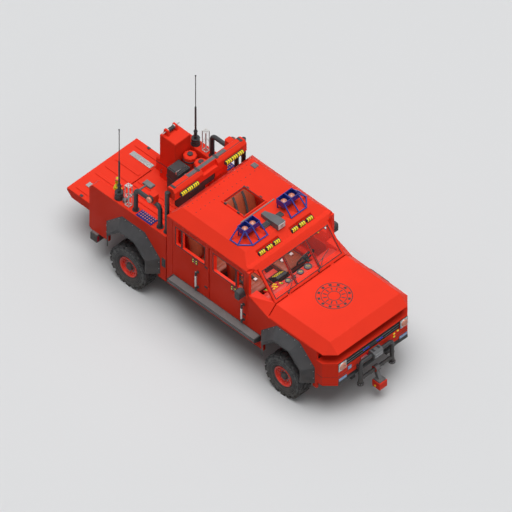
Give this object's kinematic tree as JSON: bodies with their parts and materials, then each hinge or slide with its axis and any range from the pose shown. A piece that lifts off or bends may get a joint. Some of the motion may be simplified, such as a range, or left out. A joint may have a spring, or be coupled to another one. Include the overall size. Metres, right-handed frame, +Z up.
{
  "type": "fire rescue pickup",
  "caption": "Lifted crew-cab rescue pickup with faceted red body, dark octagonal flares, roof lamp guards, light bar, open bed with lowered tailgate and opening doors and hood.",
  "frame": {"origin": "on the ground, in the middle of the overall length and width", "axes": "+X forward, +Y to the left side, +Z up"},
  "size_m": [6.89, 2.43, 3.325],
  "materials": {
    "red_paint": "satin enamel",
    "red_rim": "gloss enamel",
    "dark_plastic": "textured",
    "black_paint": "satin",
    "grey_metal": "satin",
    "yellow_paint": "gloss enamel",
    "chassis_black": "matt",
    "cast_metal": "raw",
    "blue_paint": "gloss",
    "lens_warm": "clear lens",
    "lens_yellow": "clear lens",
    "tyre_rubber": "matt",
    "screen_glass": "clear",
    "seat_leather": "grained",
    "cab_plastic": "grained",
    "wheel_black": "grained"
  },
  "bodies": {
    "truck": {"front_fascia": "red_paint", "front_fenders": "red_paint", "cab_floor": "red_paint", "cab_side_left": "red_paint", "cab_side_right": "red_paint", "cab_rear_wall": "red_paint", "roof": "red_paint", "windshield_frame": "red_paint", "bed_floor": "red_paint", "bed_sides": "red_paint", "bed_front_wall": "red_paint", "light_bar": "red_paint", "bed_lockers": "red_paint", "hook_block": "red_paint", "fender_flares": "dark_plastic", "running_boards": "dark_plastic", "rear_bumper": "dark_plastic", "bed_fittings": "dark_plastic", "bull_bar": "black_paint", "roll_bars": "black_paint", "grille": "black_paint", "radiator": "black_paint", "antennas": "black_paint", "winch": "grey_metal", "siren": "grey_metal", "swing_arm": "grey_metal", "gas_bottle": "yellow_paint", "chassis_frame": "chassis_black", "front_axle": "chassis_black", "rear_axle": "chassis_black", "leaf_springs": "chassis_black", "fuel_tank": "chassis_black", "engine_block": "cast_metal", "driveline": "cast_metal", "lamp_guards": "blue_paint", "rail_panels": "blue_paint", "round_lamps": "lens_warm", "warning_lamps": "lens_yellow", "windshield_glass": "screen_glass", "seats": "seat_leather", "dashboard": "cab_plastic", "steering_wheel": "wheel_black"},
    "hood": {"hood": "red_paint"},
    "door_front_left": {"door_front_left": "red_paint", "mirror_left": "dark_plastic"},
    "door_front_right": {"door_front_right": "red_paint", "mirror_right": "dark_plastic"},
    "door_rear_left": {"door_rear_left": "red_paint"},
    "door_rear_right": {"door_rear_right": "red_paint"},
    "tailgate": {"tailgate": "red_paint"},
    "knuckle_left": {"knuckle_left": "chassis_black"},
    "knuckle_right": {"knuckle_right": "chassis_black"},
    "wheel_front_left": {"tyre_front_left": "tyre_rubber", "rim_front_left": "red_rim"},
    "wheel_front_right": {"tyre_front_right": "tyre_rubber", "rim_front_right": "red_rim"},
    "wheel_rear_left": {"tyre_rear_left": "tyre_rubber", "rim_rear_left": "red_rim"},
    "wheel_rear_right": {"tyre_rear_right": "tyre_rubber", "rim_rear_right": "red_rim"}
  },
  "joints": [
    {"name": "steer_left", "type": "hinge", "parent": "truck", "child": "knuckle_left", "pos_m": [2.158, 0.79, 0.435], "axis": [0, 0, 1], "range_deg": [-30, 30]},
    {"name": "spin_front_left", "type": "hinge", "parent": "knuckle_left", "child": "wheel_front_left", "pos_m": [2.158, 1.05, 0.435], "axis": [0, 1, 0], "continuous": true},
    {"name": "spin_rear_left", "type": "hinge", "parent": "truck", "child": "wheel_rear_left", "pos_m": [-1.626, 1.05, 0.435], "axis": [0, 1, 0], "continuous": true},
    {"name": "door_front_left_swing", "type": "hinge", "parent": "truck", "child": "door_front_left", "pos_m": [1.145, 1.045, 1.3], "axis": [0, 0, -1], "range_deg": [0, 68]},
    {"name": "door_rear_left_swing", "type": "hinge", "parent": "truck", "child": "door_rear_left", "pos_m": [0.213, 1.045, 1.3], "axis": [0, 0, -1], "range_deg": [0, 68]},
    {"name": "steer_right", "type": "hinge", "parent": "truck", "child": "knuckle_right", "pos_m": [2.158, -0.79, 0.435], "axis": [0, 0, 1], "range_deg": [-30, 30]},
    {"name": "spin_front_right", "type": "hinge", "parent": "knuckle_right", "child": "wheel_front_right", "pos_m": [2.158, -1.05, 0.435], "axis": [0, 1, 0], "continuous": true},
    {"name": "spin_rear_right", "type": "hinge", "parent": "truck", "child": "wheel_rear_right", "pos_m": [-1.626, -1.05, 0.435], "axis": [0, 1, 0], "continuous": true},
    {"name": "door_front_right_swing", "type": "hinge", "parent": "truck", "child": "door_front_right", "pos_m": [1.145, -1.045, 1.3], "axis": [0, 0, 1], "range_deg": [0, 68]},
    {"name": "door_rear_right_swing", "type": "hinge", "parent": "truck", "child": "door_rear_right", "pos_m": [0.213, -1.045, 1.3], "axis": [0, 0, 1], "range_deg": [0, 68]},
    {"name": "hood_lift", "type": "hinge", "parent": "truck", "child": "hood", "pos_m": [1.667, 0, 1.645], "axis": [0, -1, 0], "range_deg": [0, 60]},
    {"name": "tailgate_fold", "type": "hinge", "parent": "truck", "child": "tailgate", "pos_m": [-2.712, 0, 0.88], "axis": [0, 1, 0], "range_deg": [0, 90]}
  ],
  "couplings": [
    {"joint": "steer_right", "follows": "steer_left", "ratio": 1}
  ]
}
